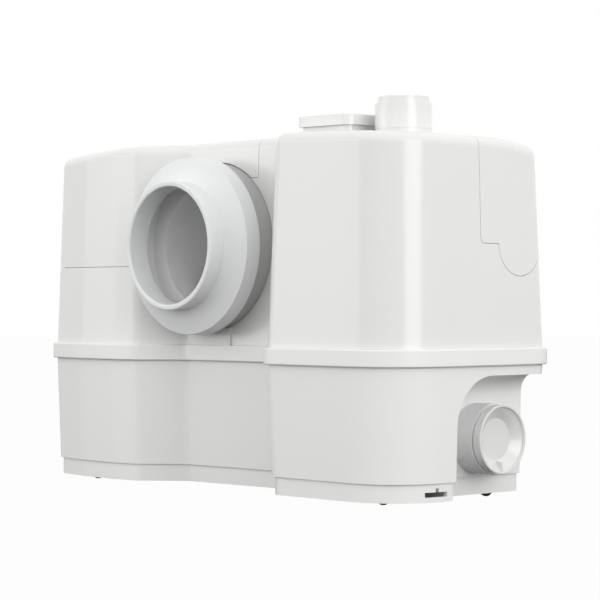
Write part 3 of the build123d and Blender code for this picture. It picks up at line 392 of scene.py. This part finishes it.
# smooth shading with sharp edges, the slot's finish unless the mesh has one, and the body it rides on
def settle(name, mesh, body, slotName, sharpAngle=35.0):
    piece = bpy.data.objects.new(name, mesh)
    bpy.context.scene.collection.objects.link(piece)
    if not mesh.materials:
        mesh.materials.append(finishes[slotName])
    mesh.shade_smooth()
    mesh.set_sharp_from_angle(angle=math.radians(sharpAngle))
    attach(piece, body)
    return piece


# the tree runs on an empty mesh, and its result becomes a plain one
def grow(name, recipe, body, slotName):
    seed = bpy.data.objects.new(name + "Seed", bpy.data.meshes.new(name + "Seed"))
    bpy.context.scene.collection.objects.link(seed)
    modifier = seed.modifiers.new("recipe", "NODES")
    modifier.node_group = recipe.tree
    for key, value in recipe.values.items():
        modifier[recipe.identifiers[key]] = value
    modifier[recipe.identifiers["Material"]] = finishes[slotName]
    ready = seed.evaluated_get(bpy.context.evaluated_depsgraph_get())
    mesh = bpy.data.meshes.new_from_object(ready)
    seed.modifiers.remove(modifier)
    bpy.data.objects.remove(seed)
    mesh.name = name
    piece = settle(name, mesh, body, slotName)
    print("piece", name, len(mesh.polygons), "faces")
    return piece


# copper end turns: one wire laid in turns, row by row and layer by layer
windingValues = {
    "Inner Radius": 0.0275,
    "Layers": 6,
    "Rows": 8,
    "Pitch": 0.0018,
    "Wire Radius": 0.00085,
    "Edge Fall": 0.004,
    "Steps": 72,
    "Wire Sides": 6,
    "Wave Count": 5.0,
    "Wave Shift": 1.7,
    "Wave Height": 0.00025,
}


def windingRecipe(low, high):
    values = dict(windingValues)
    centre = (Vector(low) + Vector(high)) / 2
    values["Centre"] = (centre.x, centre.y, centre.z)
    values["Height"] = high[2] - low[2] - 2 * windingValues["Wire Radius"]
    recipe = Recipe("windingTree", values)
    take = recipe.take
    count = take("Layers") * take("Rows") * take("Steps")
    line = recipe.start.add("GeometryNodeCurvePrimitiveLine")
    line = line.add("GeometryNodeResampleCurve", sockets={"Curve": line, "Count": count})
    index = recipe.start.add("GeometryNodeInputIndex")
    turns = index / take("Steps")
    turn = turns.maths("FLOOR", turns)
    layers = turn / take("Rows")
    layer = layers.maths("FLOOR", layers)
    row = turn - layer * take("Rows")
    across = layer / (take("Layers") - 1.0) * 2.0 - 1.0
    tall = take("Height") - take("Edge Fall") * across.maths("ABSOLUTE", across)
    rise = (row / (take("Rows") - 1.0) - 0.5) * tall
    angle = turns * (2 * math.pi)
    phase = angle * take("Wave Count") + row * take("Wave Shift")
    wave = phase.maths("SINE", phase) * take("Wave Height")
    radius = take("Inner Radius") + take("Wire Radius") + layer * take("Pitch") + wave
    spot = recipe.vector(radius * angle.maths("COSINE", angle), radius * angle.maths("SINE", angle), rise)
    spot = spot.add("ShaderNodeVectorMath", {"operation": "ADD"}, {0: spot, 1: take("Centre")})
    line = line.add("GeometryNodeSetPosition", sockets={"Geometry": line, "Position": spot})
    ring = recipe.start.add("GeometryNodeCurvePrimitiveCircle", sockets={"Resolution": take("Wire Sides"),
                                                                         "Radius": take("Wire Radius")})
    recipe.finish(line.add("GeometryNodeCurveToMesh", sockets={"Curve": line, "Profile Curve": ring,
                                                               "Fill Caps": True}))
    return recipe


# cooling ribs round the motor can
canRibValues = {"Count": 36, "Rib Radius": 0.0011, "Rib Sides": 8, "Foot Gap": 0.016, "Top Gap": 0.008}


def canRibRecipe():
    low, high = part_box("motor_can")
    centre = middleOf("motor_can")
    values = dict(canRibValues)
    values["Centre"] = (centre.x, centre.y, 0.0)
    values["Can Radius"] = (high[0] - low[0]) / 2
    values["Start"] = (0.0, 0.0, low[2] + values.pop("Foot Gap"))
    values["End"] = (0.0, 0.0, high[2] - values.pop("Top Gap"))
    recipe = Recipe("canRibTree", values)
    take = recipe.take
    rib = recipe.roundBar(take("Start"), take("End"), take("Rib Radius"), take("Rib Sides"))
    ring = recipe.start.add("GeometryNodeMeshCircle", sockets={"Vertices": take("Count"),
                                                               "Radius": take("Can Radius")})
    ribs = ring.add("GeometryNodeInstanceOnPoints", sockets={"Points": ring, "Instance": rib})
    recipe.finish(recipe.shift(ribs, take("Centre")))
    return recipe


# worm slots pressed across the two hose clamps
clampValues = {"Count": 54, "Tooth Radius": 0.0004, "Tooth Sides": 6, "Half Width": 0.0022, "Inset": 0.0055,
               "Band Radius": 0.0151}


def clampRecipe(hoseEnd, inward):
    values = dict(clampValues)
    centre = middleOf("pipe_hose")
    values["Centre"] = (hoseEnd + inward * values.pop("Inset"), centre.y, centre.z)
    recipe = Recipe("clampTree", values)
    take = recipe.take
    half = take("Half Width")
    tooth = recipe.roundBar(recipe.vector(0.0, 0.0, 0.0 - half), recipe.vector(0.0, 0.0, half),
                            take("Tooth Radius"), take("Tooth Sides"))
    ring = recipe.start.add("GeometryNodeMeshCircle", sockets={"Vertices": take("Count"),
                                                               "Radius": take("Band Radius")})
    teeth = ring.add("GeometryNodeInstanceOnPoints", sockets={"Points": ring, "Instance": tooth})
    upright = teeth.add("GeometryNodeTransform", sockets={"Geometry": teeth,
                                                          "Rotation": (0.0, math.pi / 2, 0.0)})
    recipe.finish(recipe.shift(upright, take("Centre")))
    return recipe


# a closed lathe shape: rows of radius and height along the place's own z
def turned(shape, profile, place, steps):
    turns = [2 * math.pi * step / steps for step in range(steps)]
    rings = []
    for radius, height in profile:
        if radius == 0:
            rings.append([shape.verts.new(place @ Vector((0.0, 0.0, height)))])
            continue
        spots = [Vector((radius * math.cos(turn), radius * math.sin(turn), height)) for turn in turns]
        rings.append([shape.verts.new(place @ spot) for spot in spots])
    faces = []
    for inner, outer in zip(rings, rings[1:]):
        for step in range(steps):
            after = (step + 1) % steps
            corners = [inner[step % len(inner)], outer[step % len(outer)],
                       outer[after % len(outer)], inner[after % len(inner)]]
            faces.append(shape.faces.new(list(dict.fromkeys(corners))))
    bmesh.ops.recalc_face_normals(shape, faces=faces)


def closeShape(name, shape, body, replaced, sharpAngle):
    mesh = bpy.data.meshes.new(name)
    shape.to_mesh(mesh)
    shape.free()
    piece = settle(name, mesh, body, slotOfNode[replaced], sharpAngle)
    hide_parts(replaced)
    print("piece", name, len(mesh.polygons), "faces")


# the side inlet's stopper: thin rim, dished cone with a rib at its foot, sunk disc and hollow plug
stopperValues = {"rim": 0.0247, "mouth": 0.0229, "skirtBore": 0.0229, "skirt": 0.0065, "disc": 0.0153,
                 "discDepth": 0.0072, "wall": 0.0016, "plug": 0.0168, "plugBore": 0.015, "edge": 0.0004,
                 "coneStart": 0.0018, "ribHalf": 0.0007, "steps": 96, "sharpAngle": 24.0}


def makeStopper(values):
    low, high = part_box("side_inlet_stopper")
    middle = middleOf("side_inlet_stopper")
    front = Vector((high[0], middle.y, middle.z))
    place = Matrix.Translation(front) @ Matrix.Rotation(-math.pi / 2, 4, "Y")
    rim, mouth, skirt, edge, wall = (values[key] for key in ("rim", "mouth", "skirt", "edge", "wall"))
    disc, depth, plug, cone = (values[key] for key in ("disc", "discDepth", "plug", "coneStart"))
    bore, end = values["plugBore"], high[0] - low[0]
    shape = bmesh.new()
    turned(shape, [(0, depth), (disc - edge, depth), (disc, depth - edge), (mouth - edge, cone),
                   (mouth, edge), (mouth + edge, 0.0), (rim - edge, 0.0), (rim, edge), (rim, skirt),
                   (values["skirtBore"], skirt), (values["skirtBore"], cone + 2 * wall), (plug, depth + wall),
                   (plug, end - edge), (plug - edge, end), (bore, end), (bore, depth + wall),
                   (0, depth + wall)],
           place, values["steps"])
    outline = [(mouth + edge / 2, edge), (disc + 2 * edge, 2 * edge),
               (disc + edge / 2, depth), (mouth, cone + edge)]
    sides = [[shape.verts.new(place @ Vector((-radius, side * values["ribHalf"], height)))
              for radius, height in outline] for side in (-1, 1)]
    faces = [shape.faces.new(sides[0]), shape.faces.new(sides[1])]
    for spot in range(len(outline)):
        after = (spot + 1) % len(outline)
        faces.append(shape.faces.new([sides[0][spot], sides[0][after], sides[1][after], sides[1][spot]]))
    bmesh.ops.recalc_face_normals(shape, faces=faces)
    closeShape("stopperDish", shape, "stopper", "side_inlet_stopper", values["sharpAngle"])


# rubber feet: a round stem pressed into the tank's post, with a narrower dome standing on a small flat
footValues = {"stem": 0.0055, "stemTop": 0.0059, "shoulder": 0.003, "dome": 0.0044,
              "round": [(0.0012, 0.0), (0.0019, 0.0002), (0.0027, 0.0007), (0.0035, 0.0014),
                        (0.0041, 0.0022)],
              "steps": 40, "sharpAngle": 24.0,
              "places": [(0.1645, -0.055), (0.1645, 0.052), (-0.163, -0.042), (-0.163, 0.052)]}


def makeFeet(values):
    shape = bmesh.new()
    stem, shoulder, top = (values[key] for key in ("stem", "shoulder", "stemTop"))
    profile = [(0, 0.0), *values["round"], (values["dome"], shoulder), (stem, shoulder), (stem, top),
               (0, top)]
    for x, y in values["places"]:
        turned(shape, profile, Matrix.Translation((x, y, 0.0)), values["steps"])
    closeShape("domedFeet", shape, "base", "rubber_feet", values["sharpAngle"])


# short raised marks round the stopper's cone, for the turned-off place
markValues = {"Count": 12, "First Angle": 0.45, "Step": 0.085, "Radius": 0.0198, "Half Length": 0.001,
              "Mark Radius": 0.0003, "Mark Sides": 6, "Depth": 0.0037, "Slope": 0.69}


def markRecipe():
    low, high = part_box("side_inlet_stopper")
    values = dict(markValues)
    centre = middleOf("side_inlet_stopper")
    values["Centre"] = (high[0] - values.pop("Depth"), centre.y, centre.z)
    recipe = Recipe("markTree", values)
    take = recipe.take
    half = take("Half Length")
    rise = half * take("Slope")
    mark = recipe.roundBar(recipe.vector(0.0 - rise, 0.0 - half, 0.0), recipe.vector(rise, half, 0.0),
                           take("Mark Radius"), take("Mark Sides"))
    line = recipe.start.add("GeometryNodeMeshLine", sockets={"Count": take("Count")})
    index = recipe.start.add("GeometryNodeInputIndex")
    angle = take("First Angle") + index * take("Step")
    spot = recipe.vector(0.0, take("Radius") * angle.maths("COSINE", angle),
                         take("Radius") * angle.maths("SINE", angle))
    line = line.add("GeometryNodeSetPosition", sockets={"Geometry": line, "Position": spot})
    turn = recipe.vector(angle, 0.0, 0.0)
    marks = line.add("GeometryNodeInstanceOnPoints", sockets={"Points": line, "Instance": mark,
                                                              "Rotation": turn})
    recipe.finish(recipe.shift(marks, take("Centre")))
    return recipe


# carbon grains held on top of the vent's filter block
grainValues = {"Density": 1100000.0, "Grain Radius": 0.00055, "Seed": 4, "Inset": 0.0012,
               "Least Size": (0.6, 0.6, 0.5), "Most Size": (1.3, 1.3, 1.0), "Most Turn": (6.0, 6.0, 6.0)}


def grainRecipe():
    low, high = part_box("carbon_filter")
    values = dict(grainValues)
    centre = middleOf("carbon_filter")
    values["Width"] = high[0] - low[0] - 2 * values.pop("Inset")
    values["Centre"] = (centre.x, centre.y, high[2])
    recipe = Recipe("grainTree", values)
    take = recipe.take
    sheet = recipe.start.add("GeometryNodeMeshGrid", sockets={"Size X": take("Width"),
                                                              "Size Y": take("Width")})
    spots = sheet.add("GeometryNodeDistributePointsOnFaces", sockets={
        "Mesh": sheet, "Density": take("Density"), "Seed": take("Seed")})
    grain = recipe.start.add("GeometryNodeMeshIcoSphere", sockets={"Radius": take("Grain Radius"),
                                                                   "Subdivisions": 1})
    size = recipe.start.add("FunctionNodeRandomValue", {"data_type": "FLOAT_VECTOR"},
                            {"Min": take("Least Size"), "Max": take("Most Size"), "Seed": take("Seed")})
    turn = recipe.start.add("FunctionNodeRandomValue", {"data_type": "FLOAT_VECTOR"},
                            {"Min": (0.0, 0.0, 0.0), "Max": take("Most Turn"), "Seed": take("Seed")})
    grains = spots.add("GeometryNodeInstanceOnPoints", sockets={"Points": spots, "Instance": grain,
                                                                "Rotation": turn, "Scale": size})
    recipe.finish(recipe.shift(grains, take("Centre")))
    return recipe


def makeRepeats():
    low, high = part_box("stator_windings")
    coreLow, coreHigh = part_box("stator_core")
    lowerRecipe = windingRecipe(low, (high[0], high[1], coreLow[2]))
    lowerTurns = grow("lowerWinding", lowerRecipe, "base", "copper_winding")
    upperRecipe = windingRecipe((low[0], low[1], coreHigh[2]), high)
    upperTurns = grow("upperWinding", upperRecipe, "base", "copper_winding")
    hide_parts("stator_windings")
    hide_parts("stator_windings")
    grow("canRibs", canRibRecipe(), "base", "laminated_steel")
    hoseLow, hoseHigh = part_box("pipe_hose")
    grow("clampTeethA", clampRecipe(hoseLow[0], 1), "base", "steel")
    grow("clampTeethB", clampRecipe(hoseHigh[0], -1), "base", "steel")
    grow("stopperMarks", markRecipe(), "stopper", "casing_white")
    grow("filterGrains", grainRecipe(), "base", "filter_black")


makeRepeats()
print("repeated pieces ready")
makeStopper(stopperValues)
makeFeet(footValues)

# floor, lights and camera; the floor's glow is how much of it the camera sees as plain white
stageValues = {
    "floorSize": 12.0,
    "floorShade": 0.16,
    "floorGlow": 0.975,
    "skyStops": [(0.0, 0.3), (0.48, 0.5), (0.5, 1.2), (0.62, 1.15), (0.8, 0.65), (1.0, 0.45)],
    "skyStrength": 1.59,
    "softboxes": [
        # name, place, width, height, power
        ("rightPanel", (2.35, -0.5, 0.75), 1.35, 1.3, 13.0),
        ("frontFill", (-2.1, -2.2, 0.7), 2.0, 1.4, 9.0),
    ],
    "cameraPlace": (1.2952, -1.2271, 0.142),
    "cameraTurn": 46.0,
    "cameraLens": 141.0,
    "sensorWidth": 36.0,
    "lampTarget": (0.0, 0.0, 0.14),
}


def makeWorld(values):
    world = bpy.data.worlds.new("studio")
    bpy.context.scene.world = world
    world.use_nodes = True
    tree = world.node_tree
    tree.nodes.clear()
    start = Flow(tree, None)
    seen = start.add("ShaderNodeLightPath", out="Is Camera Ray")
    mirrored = start.add("ShaderNodeLightPath", out="Is Glossy Ray")
    through = start.add("ShaderNodeLightPath", out="Is Transmission Ray")
    mask = seen.maths("MAXIMUM", seen, through)
    mask = mask.maths("MAXIMUM", mask, mirrored)
    direction = start.add("ShaderNodeTexCoord", out="Generated")
    rise = direction.add("ShaderNodeSeparateXYZ", sockets={0: direction}, out="Z") * 0.5 + 0.5
    stops = [(place, grey(value)) for place, value in values["skyStops"]]
    sky = rise.add("ShaderNodeValToRGB", {"stops": stops}, {0: rise})
    plain = sky.add("ShaderNodeBackground", sockets={"Color": sky, "Strength": values["skyStrength"]})
    white = start.add("ShaderNodeBackground", sockets={"Color": grey(1.0), "Strength": 1.0})
    mixed = start.add("ShaderNodeMixShader", sockets={0: mask, 1: plain, 2: white})
    out = tree.nodes.new("ShaderNodeOutputWorld")
    tree.links.new(mixed.socket, out.inputs["Surface"])


def makeFloor(values):
    half = values["floorSize"] / 2
    mesh = bpy.data.meshes.new("floor")
    corners = [(-half, -half, 0), (half, -half, 0), (half, half, 0), (-half, half, 0)]
    mesh.from_pydata(corners, [], [(0, 1, 2, 3)])
    floor = bpy.data.objects.new("floor", mesh)
    bpy.context.scene.collection.objects.link(floor)
    material = bpy.data.materials.new("floorWhite")
    material.use_nodes = True
    tree = material.node_tree
    tree.nodes.clear()
    start = Flow(tree, None)
    seen = start.add("ShaderNodeLightPath", out="Is Camera Ray")
    matt = start.add("ShaderNodeBsdfDiffuse", sockets={"Color": grey(values["floorShade"])})
    white = start.add("ShaderNodeEmission", sockets={"Color": grey(1.0), "Strength": 1.0})
    mixed = start.add("ShaderNodeMixShader", sockets={0: seen * values["floorGlow"], 1: matt, 2: white})
    out = tree.nodes.new("ShaderNodeOutputMaterial")
    tree.links.new(mixed.socket, out.inputs["Surface"])
    mesh.materials.append(material)


def makeLights(values):
    for name, place, width, height, power in values["softboxes"]:
        data = bpy.data.lights.new(name, "AREA")
        data.shape = "RECTANGLE"
        data.size = width
        data.size_y = height
        data.energy = power
        lamp = bpy.data.objects.new(data.name, data)
        lamp.location = place
        toward = Vector(values["lampTarget"]) - Vector(place)
        lamp.rotation_euler = toward.to_track_quat("-Z", "Y").to_euler()
        bpy.context.scene.collection.objects.link(lamp)


def makeCamera(values):
    data = bpy.data.cameras.new("camera")
    data.lens = values["cameraLens"]
    data.sensor_width = values["sensorWidth"]
    camera = bpy.data.objects.new("camera", data)
    camera.location = values["cameraPlace"]
    camera.rotation_euler = (math.radians(90.0), 0.0, math.radians(values["cameraTurn"]))
    bpy.context.scene.collection.objects.link(camera)
    bpy.context.scene.camera = camera


makeWorld(stageValues)
makeFloor(stageValues)
makeLights(stageValues)
makeCamera(stageValues)
bpy.context.scene.view_settings.view_transform = "Standard"
print("stage ready")
